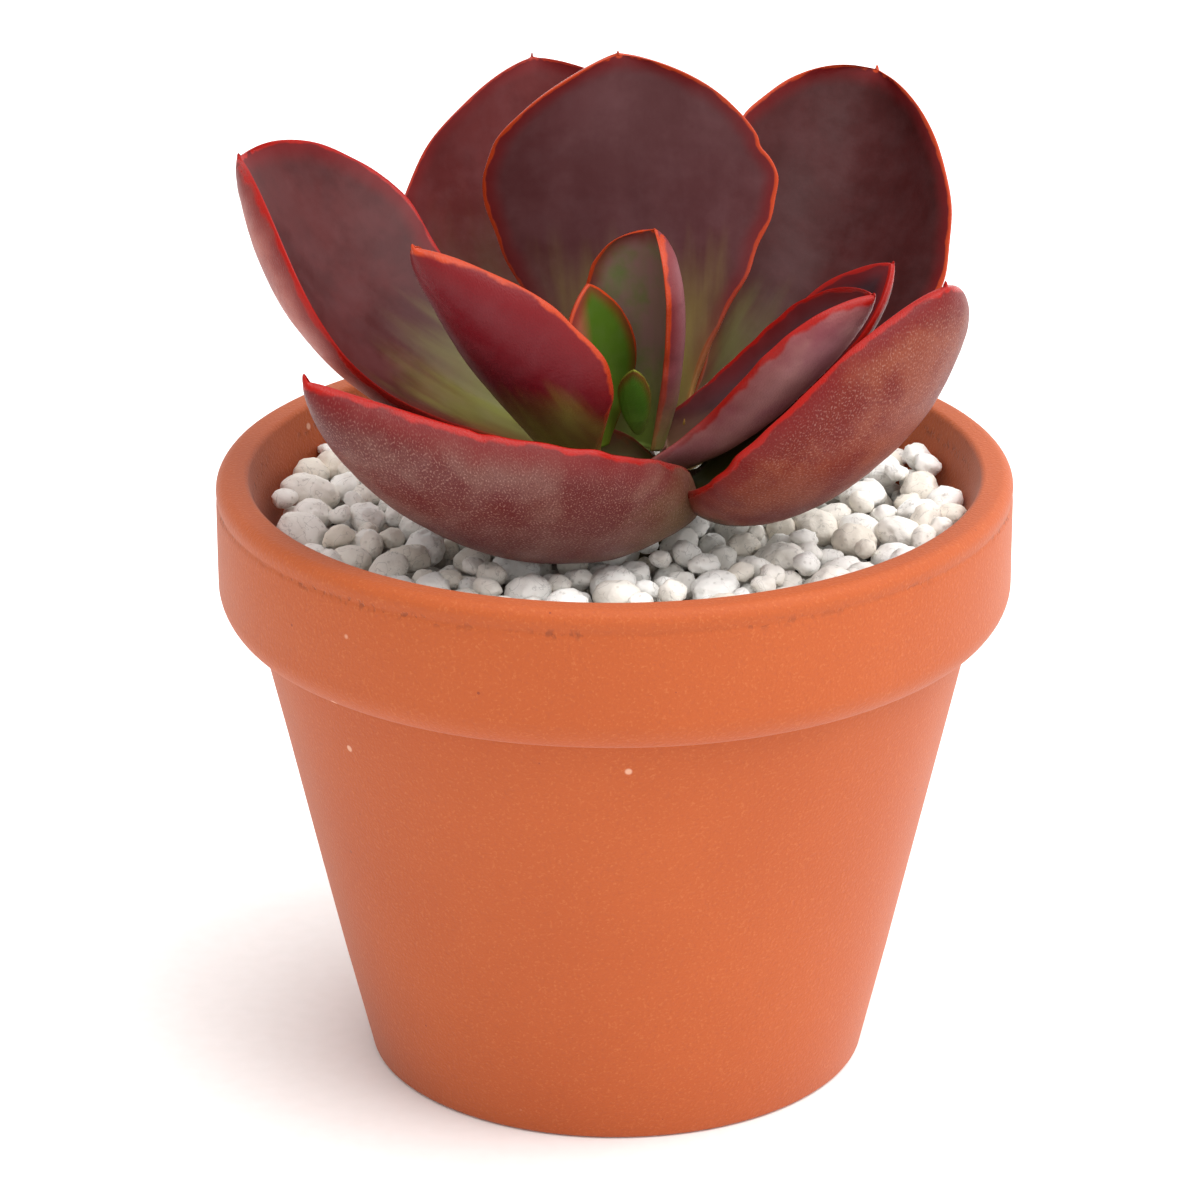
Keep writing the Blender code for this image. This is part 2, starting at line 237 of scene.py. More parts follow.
def pot_profile():
    """Outline of the wall, from the drain hole out, up the outside, over the lip and down inside."""
    step = RIM_HEIGHT - BAND_HEIGHT
    points = [(DRAIN_RADIUS, 0.0), (FOOT_RADIUS - 12 * MM, 0.0)]
    points += arc((FOOT_RADIUS - 0.9 * MM, 0.9 * MM), 0.9 * MM, -90, -14, 6)
    for share in (0.25, 0.5, 0.75):
        points.append((FOOT_RADIUS + (SHOULDER_RADIUS - FOOT_RADIUS) * share, step * share))
    corner = (SHOULDER_RADIUS + 0.45 * MM, step - 0.1 * MM)
    points += arc(corner, 0.45 * MM, 180, 110, 4)
    points += arc((RIM_RADIUS - BAND_FOOT_ROUND, step + BAND_FOOT_ROUND), BAND_FOOT_ROUND, -78, 0, 14)
    points += [(RIM_RADIUS, step + BAND_FOOT_ROUND + 4 * MM), (RIM_RADIUS, TRIM_LINE - 0.7 * MM)]
    groove = 0.22 * MM
    points += [(RIM_RADIUS - groove * 0.5, TRIM_LINE - 0.3 * MM), (RIM_RADIUS - groove, TRIM_LINE),
               (RIM_RADIUS - groove * 0.6, TRIM_LINE + 0.35 * MM),
               (RIM_RADIUS - 0.05 * MM, TRIM_LINE + 0.7 * MM)]
    points += arc((RIM_RADIUS - LIP_ROUND, RIM_HEIGHT - LIP_ROUND), LIP_ROUND, 0, 90, 10)
    points += arc((MOUTH_RADIUS + LIP_ROUND / 2, RIM_HEIGHT - LIP_ROUND / 2), LIP_ROUND / 2, 90, 180, 8)
    for share in (0.25, 0.5, 0.75):
        height = RIM_HEIGHT - LIP_ROUND / 2 + (FLOOR_THICKNESS + 3 * MM - RIM_HEIGHT) * share
        points.append((inner_wall_radius(height), height))
    points += [(inner_wall_radius(FLOOR_THICKNESS + 3 * MM), FLOOR_THICKNESS + 3 * MM)]
    points += arc((FLOOR_INNER_RADIUS - 3 * MM, FLOOR_THICKNESS + 3 * MM), 3 * MM, -25, -90, 5)
    points.append((DRAIN_RADIUS, FLOOR_THICKNESS))
    return points[::-1]


def make_terracotta():
    """Terracotta: red clay fired without a glaze. Its skin is dull and dusty, with a fine sandy grain,
    dark grog specks, pits where the mould dragged, and a few chalky scuffs."""
    material, tree, shader = new_material("terracotta", 0.66)
    place = add(tree, "ShaderNodeTexCoord", out=3)
    cloud = add(tree, "ShaderNodeTexNoise", place, Scale=1 / 0.030, Detail=3.0)       # kiln clouds, 30 mm
    color = add(tree, "ShaderNodeMix", cloud, data_type="RGBA", A=paint("#A44817"), B=paint("#B25420"))
    grain = add(tree, "ShaderNodeTexNoise", place, Scale=1 / 0.00045, Detail=2.0, Roughness=0.6)
    light = add(tree, "ShaderNodeMapRange", grain, 0.54, 0.74, 0.0, 0.2, interpolation_type="SMOOTHSTEP")
    color = add(tree, "ShaderNodeMix", light, data_type="RGBA", A=color, B=paint("#D48452"))
    dark = add(tree, "ShaderNodeMapRange", grain, 0.46, 0.28, 0.0, 0.45, interpolation_type="SMOOTHSTEP")
    color = add(tree, "ShaderNodeMix", dark, data_type="RGBA", A=color, B=paint("#A04A26"))

    specks = add(tree, "ShaderNodeTexVoronoi", place, Scale=1 / 0.0035, Randomness=1.0)
    rare = add(tree, "ShaderNodeTexNoise", place, Scale=1 / 0.006, Detail=1.0)
    size = add(tree, "ShaderNodeMapRange", rare, 0.5, 0.75, 0.0, 0.085)
    speck = add(tree, "ShaderNodeMath", specks, size, operation="LESS_THAN")
    color = add(tree, "ShaderNodeMix", speck, data_type="RGBA", A=color, B=paint("#8A3A1C"))

    height = add(tree, "ShaderNodeSeparateXYZ", place, out=2)
    from_line = add(tree, "ShaderNodeMath", height, TRIM_LINE, operation="SUBTRACT")
    from_line = add(tree, "ShaderNodeMath", from_line, operation="ABSOLUTE")
    near_line = add(tree, "ShaderNodeMapRange", from_line, 0.9 * MM, 0.1 * MM, 0.0, 1.0)
    crumbs = add(tree, "ShaderNodeTexNoise", place, Scale=1 / 0.0011, Detail=2.0)
    crumbs = add(tree, "ShaderNodeMapRange", crumbs, 0.53, 0.60, 0.0, 1.0)
    stretch = add(tree, "ShaderNodeTexNoise", place, Scale=1 / 0.011, Detail=1.0)
    stretch = add(tree, "ShaderNodeMapRange", stretch, 0.42, 0.58, 0.1, 0.65)
    pits = add(tree, "ShaderNodeMath", near_line, crumbs, operation="MULTIPLY")
    pits = add(tree, "ShaderNodeMath", pits, stretch, operation="MULTIPLY")
    color = add(tree, "ShaderNodeMix", pits, data_type="RGBA", A=color, B=paint("#7E3A1C"))

    chalk = add(tree, "ShaderNodeTexVoronoi", place, Scale=1 / 0.012, Randomness=1.0)
    chalk = add(tree, "ShaderNodeMapRange", chalk, 0.05, 0.03, 0.0, 0.5)
    color = add(tree, "ShaderNodeMix", chalk, data_type="RGBA", A=color, B=paint("#F0C8AC"))
    tree.links.new(color, shader.inputs["Base Color"])

    dents = add(tree, "ShaderNodeMath", pits, -1.4, operation="MULTIPLY")
    relief = add(tree, "ShaderNodeMath", grain, dents, operation="ADD")
    speck_dent = add(tree, "ShaderNodeMath", speck, -0.5, operation="MULTIPLY")
    relief = add(tree, "ShaderNodeMath", relief, speck_dent, operation="ADD")
    bump = add(tree, "ShaderNodeBump", Strength=0.5, Distance=0.00022, Height=relief)
    tree.links.new(bump, shader.inputs["Normal"])
    shader.inputs["Specular IOR Level"].default_value = 0.35
    shader.inputs["Sheen Weight"].default_value = 0.10
    shader.inputs["Sheen Roughness"].default_value = 0.45
    return material


profile = bpy.data.meshes.new("pot_profile")
outline_points = pot_profile()
profile.from_pydata([(radius - TURNING_RADIUS, -height, 0) for radius, height in outline_points],
                    [(i, (i + 1) % len(outline_points)) for i in range(len(outline_points))], [])
tree, outline_in, sizes = new_tree("turned_pot", {"Segments": "Int", "Radius": "Float", "Warp": "Float",
                                                  "Clay": "Material"})
circle = add(tree, "GeometryNodeCurvePrimitiveCircle", sizes["Segments"], sizes["Radius"])
circle = add(tree, "GeometryNodeSetCurveNormal", circle, mode="Z_UP")
wall = add(tree, "GeometryNodeCurveToMesh", circle, add(tree, "GeometryNodeMeshToCurve", outline_in))
wander = add(tree, "ShaderNodeTexNoise", add(tree, "GeometryNodeInputPosition"), out=1,
             Scale=1 / 0.045, Detail=2.0)
wander = add(tree, "ShaderNodeVectorMath", wander, (0.5, 0.5, 0.5), operation="SUBTRACT")
wander = add(tree, "ShaderNodeVectorMath", wander, sizes["Warp"], operation="SCALE")
wander = add(tree, "ShaderNodeVectorMath", wander, (1.0, 1.0, 0.0), operation="MULTIPLY")
wall = add(tree, "GeometryNodeSetPosition", wall, Offset=wander)
close_tree(tree, wall, sizes["Clay"])
pot = grow("clay_pot", profile, tree, {"Segments": 256, "Radius": TURNING_RADIUS, "Warp": 0.5 * MM,
                                       "Clay": make_terracotta()})
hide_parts("pot")
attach(pot, "root")


# ---------------------------------------------------------------- potting mix
# Peat and bark fines with a little white perlite, pressed in round the roots. Stones hide it all but
# in the drain hole, so its plain solid stays and takes a crumbly material.

mix, tree, shader = new_material("potting_mix", 0.95)
place = add(tree, "ShaderNodeTexCoord", out=3)
crumb = add(tree, "ShaderNodeTexVoronoi", place, Scale=1 / 0.0018)
color = add(tree, "ShaderNodeMix", crumb, data_type="RGBA", A=paint("#3A2A1E"), B=paint("#15100C"))
perlite = add(tree, "ShaderNodeTexVoronoi", place, Scale=1 / 0.006)
perlite = add(tree, "ShaderNodeMapRange", perlite, 0.16, 0.12, 0.0, 1.0)
color = add(tree, "ShaderNodeMix", perlite, data_type="RGBA", A=color, B=paint("#D8D4CA"))
tree.links.new(color, shader.inputs["Base Color"])
bump = add(tree, "ShaderNodeBump", Strength=0.9, Distance=0.0006, Height=crumb)
tree.links.new(bump, shader.inputs["Normal"])
soil = frame["nodes"]["potting_soil"]
soil.data.materials.clear()
soil.data.materials.append(mix)


# ---------------------------------------------------------------- leaves
# Twelve fleshy leaves of one rosette, each grown in one piece: a narrow pale foot at the stem, a broad
# cupped blade and a small sharp point. The skin is waxed, plum above and mauve below, edged with red.

STEM = Vector((3.5, -6.0, 0.0))     # millimetres, as all the sizes of the leaves
LIP = RIM_HEIGHT / MM
ROWS = 110
SIDES = 72
UPPER_SWELL = 0.6
UNDER_SWELL = 1.4
CREASE_DEPTH = 0.45             # of the fold along the middle of the upper face
CREASE_WIDTH = 1.6
POINT_START = 0.968             # share of the upper blade where the small point begins
POINT_WIDTH = 0.08              # share of the width that tapers straight to the tip


class Leaf:
    """One leaf's sizes. Its blade starts beside the stem and curves up as it runs outwards."""

    def __init__(self, azimuth, foot, lift, length, half_width, cup, roll, widest, base, waist,
                 thickness, sweep=0.0, blunt=0.8, curl=(1, 0.0), nick=None):
        self.azimuth = azimuth          # way it points, anticlockwise from +X
        self.foot = foot                # side of the stem, distance from it, height above the lip
        self.lift = lift                # slope of the blade at its foot and at its tip
        self.length = length
        self.half_width = half_width
        self.cup = cup                  # half angle of its trough, at foot and tip
        self.roll = roll                # turn about its own length, at foot and tip
        self.widest = widest            # where the blade is widest, as a share of the length
        self.base = base                # width of the foot, as a share of the widest
        self.waist = waist              # 2 draws the foot in like a spoon's neck, 1 keeps it full
        self.thickness = thickness
        self.sweep = sweep              # sideways bend of the tip, as a share of the length
        self.blunt = blunt              # 0.5 rounds the end of the blade off, 1 makes it taper
        self.curl = curl                # side that bends by its own amount: share added to the cup
        self.nick = nick                # old damage in the margin: place along it, side, depth, length


# Most of these values came out of a separate fitting program and were rounded. Some were then
# changed, and blunt, curl and nick were chosen one by one.
LEAVES = {
    "leaf_front_left": Leaf(azimuth=209, foot=(302, 10.5, 0.25), lift=(-18, 70), length=66,
        half_width=25, cup=(98, 89), roll=(0, -3), sweep=0.08, widest=0.4, base=0.38, waist=0.55,
        thickness=4.5, curl=(1, -0.75), nick=(0.71, -1, 0.5, 1.2)),
    "leaf_front_right": Leaf(azimuth=-46, foot=(344, 8.25, 1.5), lift=(-9, 97), length=56.5,
        half_width=21, cup=(63, 34), roll=(-15, -4), sweep=-0.19, widest=0.58, base=0.32, waist=0.95,
        thickness=4.5, blunt=0.6),
    "leaf_left": Leaf(azimuth=180, foot=(135, 6.5, 4), lift=(12, 66), length=66.5, half_width=21,
        cup=(28, 36), roll=(41, 12), sweep=0.07, widest=0.71, base=0.24, waist=2.6, thickness=4.5,
        blunt=0.5, curl=(-1, 0.45)),
    "leaf_right_back": Leaf(azimuth=35, foot=(63, 9, 0.5), lift=(25, 67), length=65.5, half_width=21.5,
        cup=(68, 73), roll=(-46, -28), sweep=-0.18, widest=0.65, base=0.17, waist=1.9, thickness=4.5,
        blunt=0.5, curl=(1, -0.3)),
    "leaf_back_left": Leaf(azimuth=112, foot=(96, 9.75, -1.75), lift=(30, 74), length=64.5,
        half_width=24.5, cup=(13, 35), roll=(17, 1), sweep=0.01, widest=0.63, base=0.15, waist=2.4,
        thickness=4.5, blunt=0.7),
    "leaf_right": Leaf(azimuth=-13, foot=(310, 6, 4.75), lift=(31, 56), length=40, half_width=11.5,
        cup=(62, 76), roll=(-10, 2), sweep=0.1, widest=0.62, base=0.66, waist=1.5, thickness=4, blunt=0.7),
    "leaf_right_upper": Leaf(azimuth=-12, foot=(33, 5.75, 2.75), lift=(28, 61), length=42,
        half_width=7.5, cup=(88, 32), roll=(-34, -42), sweep=-0.06, widest=0.67, base=0.22, waist=1.9,
        thickness=3.6),
    "leaf_back_center": Leaf(azimuth=94, foot=(58, 3, 4.5), lift=(46, 102), length=56, half_width=21,
        cup=(16, 35), roll=(47, -10), sweep=-0.06, widest=0.69, base=0.36, waist=1.7, thickness=4.5,
        blunt=0.6, nick=(0.77, 1, 0.5, 1.0)),
    "leaf_inner_left": Leaf(azimuth=233, foot=(234, 10.25, 4), lift=(45, 65), length=46.5,
        half_width=14.5, cup=(24, 76), roll=(4, 4), sweep=0.21, widest=0.55, base=0.17, waist=2.1,
        thickness=4),
    "leaf_inner_back": Leaf(azimuth=128, foot=(231, 9, 7.5), lift=(92, 81), length=23.5, half_width=7,
        cup=(20, 12), roll=(-15, -3), sweep=-0.02, widest=0.53, base=0.29, waist=1.3, thickness=2.8),
    "leaf_inner_right": Leaf(azimuth=50, foot=(307, 1.25, 5.75), lift=(76, 100), length=31,
        half_width=10.5, cup=(95, 82), roll=(-4, 2), sweep=0.02, widest=0.74, base=0.52, waist=1.3,
        thickness=3, blunt=0.36),
    "leaf_core": Leaf(azimuth=252, foot=(267, 5.5, 9.25), lift=(62, 59), length=13, half_width=2.5,
        cup=(77, 30), roll=(0, -13), sweep=-0.11, widest=0.5, base=0.17, waist=0.7, thickness=1.6),
}


class Skin:
    """Colours of one leaf. Each pair is the main colour and that of its patches."""

    def __init__(self, upper, under, foot, green, rim, rim_width=0.7, under_foot=None, halves=None,
                 grain=0.3):
        self.upper = upper
        self.under = under
        self.foot = foot                        # colour of the upper face near the stem
        self.under_foot = under_foot or foot
        self.green = green                      # shares of the length where that starts and stops fading
        self.rim = rim
        self.rim_width = rim_width              # millimetres
        # on leaf_inner_left the split paints the two sides of the keel lit differently: painted light and
        # shade
        self.halves = halves                    # where a pair's colours meet, millimetres from the keel
        self.grain = grain                      # strength of the granules in the under face


PLUM = ("#5A3436", "#50282A")
MAUVE = ("#6C463E", "#561C1A")
RED = "#9A140B"
ORANGE = "#AC3A1A"
SKINS = {
    "leaf_front_left": Skin(PLUM, MAUVE, "#4E5A2A", (0.0, 0.3), RED, 0.75, under_foot="#6E5638",
                            grain=1.0),
    # Its foot is olive like other leaves' feet but painted dark: partly the base's own green, partly
    # painted shade for the deep shade between the two front leaves.
    "leaf_front_right": Skin(PLUM, ("#7E3C28", "#64160E"), "#40431A", (0.22, 0.31), RED, 0.65,
                             under_foot="#3A3210", grain=1.0),
    "leaf_left": Skin(("#4C1818", "#3C0A0A"), ("#A45C50", "#86382F"), "#767A3A", (0.08, 0.54), RED, 0.6),
    "leaf_right_back": Skin(("#421616", "#380D0C"), MAUVE, "#606A30", (0.05, 0.48), ORANGE, 0.5),
    "leaf_back_left": Skin(("#5C2020", "#4E1212"), MAUVE, "#3E3616", (0.2, 0.75), "#A03020", 0.4),
    # Its under face is the leaf's mauve made paler than it is: partly its own colour, partly painted light
    # for the cupped underside, which the lamps leave in shade.
    "leaf_right": Skin(("#4A3034", "#36201F"), ("#DCA09C", "#C8808A"), "#6E4E3A", (0.0, 0.3), RED, 0.7),
    "leaf_right_upper": Skin(("#42282E", "#32191E"), ("#805A54", "#664844"), "#5E6A34", (0.0, 0.4), RED,
                             0.5),
    "leaf_back_center": Skin(PLUM, MAUVE, "#86783E", (0.14, 0.55), ORANGE, 0.5),
    # Its foot's yellow-green is made paler than the leaf is: partly its own colour, partly painted light
    # for a foot that sits in shade.
    "leaf_inner_left": Skin(("#42242A", "#381318"), ("#724448", "#66121A"), "#A2A648", (0.18, 0.54), ORANGE,
                            # halves paints the two sides of the keel as if lit differently: painted light
                            # and shade
                            0.7, halves=2.5, grain=0.0),
    "leaf_inner_back": Skin(("#405A14", "#8A4A38"), ("#6E5030", "#5E3A28"), "#5E7420", (0.1, 0.6), ORANGE,
                            0.35, halves=-2.0),
    "leaf_inner_right": Skin(("#86625E", "#56702C"), ("#8E5A5E", "#7E4A50"), "#76883A", (0.0, 0.5), ORANGE,
                             0.5, grain=0.0),
    "leaf_core": Skin(("#48741E", "#3A6618"), ("#547C28", "#467020"), "#6E8C3A", (0.0, 0.6), "#6E7028", 0.2,
                      grain=0.0),
}


def outline(leaf, t):
    """Half width of the blade at t along it: a narrow foot, a broad blade and a small point."""
    lower = np.sin(math.pi / 2 * np.minimum(t / leaf.widest, 1)) ** leaf.waist
    x = np.clip((t - leaf.widest) / (1 - leaf.widest), 0, 1)
    rounded = (1 - np.minimum(x / POINT_START, 1) ** 2) ** leaf.blunt
    upper = (1 - POINT_WIDTH) * rounded + POINT_WIDTH * (1 - x)
    return np.where(t < leaf.widest, leaf.base + (1 - leaf.base) * lower, upper)


def blend(pair, t):
    return pair[0] + (pair[1] - pair[0]) * t


def leaf_thickness(leaf, t):
    return leaf.thickness * np.minimum(1.0, 0.55 + 2.0 * t) * (1 - 0.3 * t) * np.sqrt(1 - t ** 6)


def leaf_skin_points(leaf, t, angle, chance):
    """Points of the skin, row by row along the blade and all round it: angle 0 is the right margin and
    90 degrees the upper face. Gives them back with the distance to the margin, all in millimetres."""
    start, end = (math.radians(a) for a in leaf.lift)
    bend = (end - start) or 1e-4
    slope = start + bend * t
    out = leaf.length * (np.sin(slope) - math.sin(start)) / bend
    up = leaf.length * (math.cos(start) - np.cos(slope)) / bend
    side = leaf.sweep * leaf.length * t * t

    half_width = leaf.half_width * outline(leaf, t)
    edge = np.cos(angle)
    for wave in range(3, 10):
        size = chance.uniform(0.2, 1.0) * 0.035 / wave
        for hand in (-1, 1):
            ripple = size * np.sin(2 * math.pi * wave * t + chance.uniform(0, 2 * math.pi))
            half_width = half_width * (1 + ripple * np.clip(edge * hand, 0, 1) ** 2)
    if leaf.nick:
        along, hand, depth, length = leaf.nick
        dent = depth * np.exp(-(((t - along) * leaf.length / length) ** 2))
        half_width = half_width - dent * np.clip(edge * hand, 0, 1) ** 4

    flat = np.stack([half_width * edge, t * leaf.length + 0 * edge], -1)
    border = np.concatenate([flat[:, 0], flat[::-1, SIDES // 2]])
    gaps = flat[:, :, None, :] - border[None, None, :, :]
    margin = np.sqrt((gaps ** 2).sum(-1).min(-1))

    hand, extra = leaf.curl
    one_side = extra * np.minimum(4 * t, 1) * np.clip(edge * hand, 0, 1) ** 2
    cup = np.radians(blend(leaf.cup, t)) * (1 + one_side)
    across = edge * cup
    bow = half_width / cup
    lateral = bow * np.sin(across)
    normal = bow * (1 - np.cos(across))
    face = np.sin(angle)
    swell = face * np.where(face > 0, UPPER_SWELL, UNDER_SWELL) * leaf_thickness(leaf, t) / 2
    crease = CREASE_DEPTH * np.exp(-((flat[..., 0] / CREASE_WIDTH) ** 2)) * np.clip(face, 0, 1)
    crease = crease * np.sin(math.pi * np.sqrt(t))
    swell = swell - crease * min(1.0, leaf.half_width / 15)
    lateral = lateral - swell * np.sin(across)
    normal = normal + swell * np.cos(across)

    roll = np.radians(blend(leaf.roll, t))
    sines, cosines = np.sin(slope), np.cos(slope)
    x = side + lateral * np.cos(roll) - normal * np.sin(roll)
    y = out - lateral * sines * np.sin(roll) - normal * sines * np.cos(roll)
    z = up + lateral * cosines * np.sin(roll) + normal * cosines * np.cos(roll)

    azimuth = math.radians(leaf.azimuth)
    side_of_stem, reach, height = leaf.foot
    foot = STEM + Vector((reach * math.cos(math.radians(side_of_stem)),
                          reach * math.sin(math.radians(side_of_stem)), LIP + height))
    points = np.stack([foot.x + x * math.sin(azimuth) + y * math.cos(azimuth),
                       foot.y - x * math.cos(azimuth) + y * math.sin(azimuth), foot.z + z], -1)
    return points, flat, margin


def ring_faces(rows, sides):
    """Faces between the rings of a closed skin, with a point at each end."""
    foot, tip = rows * sides, rows * sides + 1
    faces = []
    for k in range(sides):
        j = (k + 1) % sides
        faces.append((k, j, foot))
        faces += [(row * sides + j, row * sides + k, (row + 1) * sides + k, (row + 1) * sides + j)
                  for row in range(rows - 1)]
        faces.append(((rows - 1) * sides + j, (rows - 1) * sides + k, tip))
    return faces


def make_leaf_skin(name, skin):
    """Living leaf skin under a thin coat of wax: satin, cloudy with anthocyanin red over the green,
    which stays at the foot where light is low. The margin is bare of wax, redder and glossier."""
    material, tree, shader = new_material(name, 0.45)
    place = add(tree, "ShaderNodeTexCoord", out=3)
    zone = add(tree, "ShaderNodeAttribute", attribute_name="zone", out=1)
    along, margin, face = add(tree, "ShaderNodeSeparateXYZ", zone, out=None)
    blade = add(tree, "ShaderNodeAttribute", attribute_name="blade", out=1)
    across = add(tree, "ShaderNodeSeparateXYZ", blade, out=0)

    clouds = add(tree, "ShaderNodeTexNoise", place, Scale=1 / 0.011, Detail=4.0, Roughness=0.6)
    clouds = add(tree, "ShaderNodeMapRange", clouds, 0.40, 0.62, 0.0, 1.0, interpolation_type="SMOOTHSTEP")
    stripes = add(tree, "ShaderNodeVectorMath", blade, (0.35, 0.045, 0.0), operation="MULTIPLY")
    stripes = add(tree, "ShaderNodeTexNoise", stripes, Scale=1.0, Detail=3.0)
    stripes = add(tree, "ShaderNodeMapRange", stripes, 0.35, 0.65, 0.0, 1.0)
    pair_mask = add(tree, "ShaderNodeMix", 0.25, clouds, stripes)

    # upper face
    # A split along the keel in place of the clouds; on leaf_inner_left it is painted light and shade of the
    # keel's two sides.
    if skin.halves is not None:
        pair_mask = add(tree, "ShaderNodeMapRange", across, skin.halves + 1.2, skin.halves - 1.2, 0.0, 1.0)
    upper = add(tree, "ShaderNodeMix", pair_mask, data_type="RGBA",
                A=paint(skin.upper[0]), B=paint(skin.upper[1]))
    reach = add(tree, "ShaderNodeMapRange", margin, 0.0, 5.0, 0.16, 0.0)
    reach = add(tree, "ShaderNodeMath", reach, along, operation="ADD")
    wander = add(tree, "ShaderNodeMapRange", stripes, 0.0, 1.0, -0.04, 0.04)
    reach = add(tree, "ShaderNodeMath", reach, wander, operation="ADD")
    ripe = add(tree, "ShaderNodeMapRange", reach, skin.green[0], skin.green[1], 0.0, 1.0,
               interpolation_type="SMOOTHSTEP")
    upper = add(tree, "ShaderNodeMix", ripe, data_type="RGBA", A=paint(skin.foot), B=upper)

    # under face
    under = add(tree, "ShaderNodeMix", pair_mask, data_type="RGBA",
                A=paint(skin.under[0]), B=paint(skin.under[1]))
    under = add(tree, "ShaderNodeMix", ripe, data_type="RGBA", A=paint(skin.under_foot), B=under)
    grains = add(tree, "ShaderNodeVectorMath", blade, (5.2, 3.0, 0.0), operation="MULTIPLY")
    grains = add(tree, "ShaderNodeTexNoise", grains, Scale=1.0, Detail=2.0)
    pale = add(tree, "ShaderNodeMapRange", grains, 0.55, 0.68, 0.0, 0.42 * skin.grain)
    under = add(tree, "ShaderNodeMix", pale, data_type="RGBA", A=under, B=paint("#AE8478"))
    dim = add(tree, "ShaderNodeMapRange", grains, 0.46, 0.30, 0.0, 0.45 * skin.grain)
    under = add(tree, "ShaderNodeMix", dim, data_type="RGBA", A=under, B=paint("#4A1620"))

    which = add(tree, "ShaderNodeMapRange", face, -0.12, 0.12, 0.0, 1.0)
    color = add(tree, "ShaderNodeMix", which, data_type="RGBA", A=under, B=upper)
    wax = add(tree, "ShaderNodeTexNoise", place, Scale=1 / 0.0045, Detail=6.0, Roughness=0.65)
    wax = add(tree, "ShaderNodeMapRange", wax, 0.42, 0.75, 0.0, 0.06)
    color = add(tree, "ShaderNodeMix", wax, data_type="RGBA", A=color, B=paint("#8E7478"))

    # margin
    uneven = add(tree, "ShaderNodeTexNoise", place, Scale=1 / 0.004, Detail=3.0)
    uneven = add(tree, "ShaderNodeMapRange", uneven, 0.3, 0.7, -0.5 * skin.rim_width, 0.5 * skin.rim_width)
    ragged = add(tree, "ShaderNodeMath", margin, uneven, operation="ADD")
    red = add(tree, "ShaderNodeMapRange", along, skin.green[0], skin.green[1] + 0.06, 0.2, 1.0)
    blush = add(tree, "ShaderNodeMapRange", ragged, 6.5 * skin.rim_width, 0.6 * skin.rim_width, 0.0, 0.75,
                interpolation_type="SMOOTHSTEP")
    blush = add(tree, "ShaderNodeMath", blush, red, operation="MULTIPLY")
    color = add(tree, "ShaderNodeMix", blush, data_type="RGBA", A=color, B=paint("#6A0E12"))
    edge = add(tree, "ShaderNodeMapRange", ragged, 1.15 * skin.rim_width, 0.55 * skin.rim_width, 0.0, 0.95,
               interpolation_type="SMOOTHSTEP")
    shown = add(tree, "ShaderNodeMath", edge, red, operation="MULTIPLY")
    color = add(tree, "ShaderNodeMix", shown, data_type="RGBA", A=color, B=paint(skin.rim))
    tree.links.new(color, shader.inputs["Base Color"])

    gloss = add(tree, "ShaderNodeMapRange", wax, 0.0, 0.06, 0.40, 0.54)
    gloss = add(tree, "ShaderNodeMix", edge, gloss, 0.26)
    tree.links.new(gloss, shader.inputs["Roughness"])
    fine = add(tree, "ShaderNodeMix", which, grains, 0.5)
    swelling = add(tree, "ShaderNodeTexNoise", place, Scale=1 / 0.0016, Detail=2.0)
    relief = add(tree, "ShaderNodeMath", swelling, 0.35, fine, operation="MULTIPLY_ADD")
    bump = add(tree, "ShaderNodeBump", Strength=0.35, Distance=0.00025, Height=relief)
    tree.links.new(bump, shader.inputs["Normal"])
    shader.inputs["Specular IOR Level"].default_value = 0.17
    return material


def make_leaf(name, leaf, skin, chance):
    t = (1 - (1 - np.arange(ROWS) / ROWS) ** 1.5)[:, None]
    angle = (2 * math.pi * np.arange(SIDES) / SIDES)[None, :]
    points, flat, margin = leaf_skin_points(leaf, t, angle, chance)
    skin_points = [Vector(p) for p in points.reshape(-1, 3)]
    shift = chance.uniform(0, 100)
    thick = np.broadcast_to(np.sin(angle), margin.shape).ravel()
    normals = np.cross(np.roll(points, -1, 1) - np.roll(points, 1, 1), np.gradient(points, axis=0))
    normals = normals.reshape(-1, 3)
    normals /= np.maximum(np.linalg.norm(normals, axis=1, keepdims=True), 1e-9)
    for k, point in enumerate(skin_points):
        swell = 0.22 * noise.noise(point * 0.11 + Vector((shift, 0, 0)))
        swell += 0.05 * noise.noise(point * 0.55 + Vector((0, shift, 0)))
        point += Vector(normals[k]) * swell * min(1.0, float(margin.ravel()[k]) / 2)
    foot = sum(skin_points[:SIDES], Vector()) / SIDES
    tip = sum(skin_points[-SIDES:], Vector()) / SIDES
    tip += (tip - sum(skin_points[-2 * SIDES:-SIDES], Vector()) / SIDES) * 0.6

    mesh = bpy.data.meshes.new(name)
    mesh.from_pydata([p * MM for p in skin_points + [foot, tip]], [], ring_faces(ROWS, SIDES))
    zones = np.stack([np.broadcast_to(t, margin.shape).ravel(), margin.ravel(), thick], -1)
    zones = np.vstack([zones, [[0.0, 1.0, 0.0], [1.0, 0.0, 0.0]]])
    blades = np.vstack([flat.reshape(-1, 2), [[0.0, 0.0], [0.0, leaf.length]]])
    blades = np.column_stack([blades, np.full(len(blades), shift)])
    for label, values in (("zone", zones), ("blade", blades)):
        layer = mesh.attributes.new(label, "FLOAT_VECTOR", "POINT")
        layer.data.foreach_set("vector", values.astype(np.float32).ravel())
    mesh.shade_smooth()
    mesh.materials.append(make_leaf_skin(name + "_skin", skin))
    piece = bpy.data.objects.new(name + "_blade", mesh)
    bpy.context.collection.objects.link(piece)
    return piece


chance = random.Random(5)
leaves = []
for name, leaf in LEAVES.items():
    blade = make_leaf(name, leaf, SKINS[name], chance)
    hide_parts(name)
    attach(blade, "root")
    leaves.append(blade)


# ---------------------------------------------------------------- stem
# A short succulent stem that carries the rosette. Each leaf it has dropped left a scar, and the scars
# wind up it in a spiral. It shows only between the two front leaves, in deep shade.

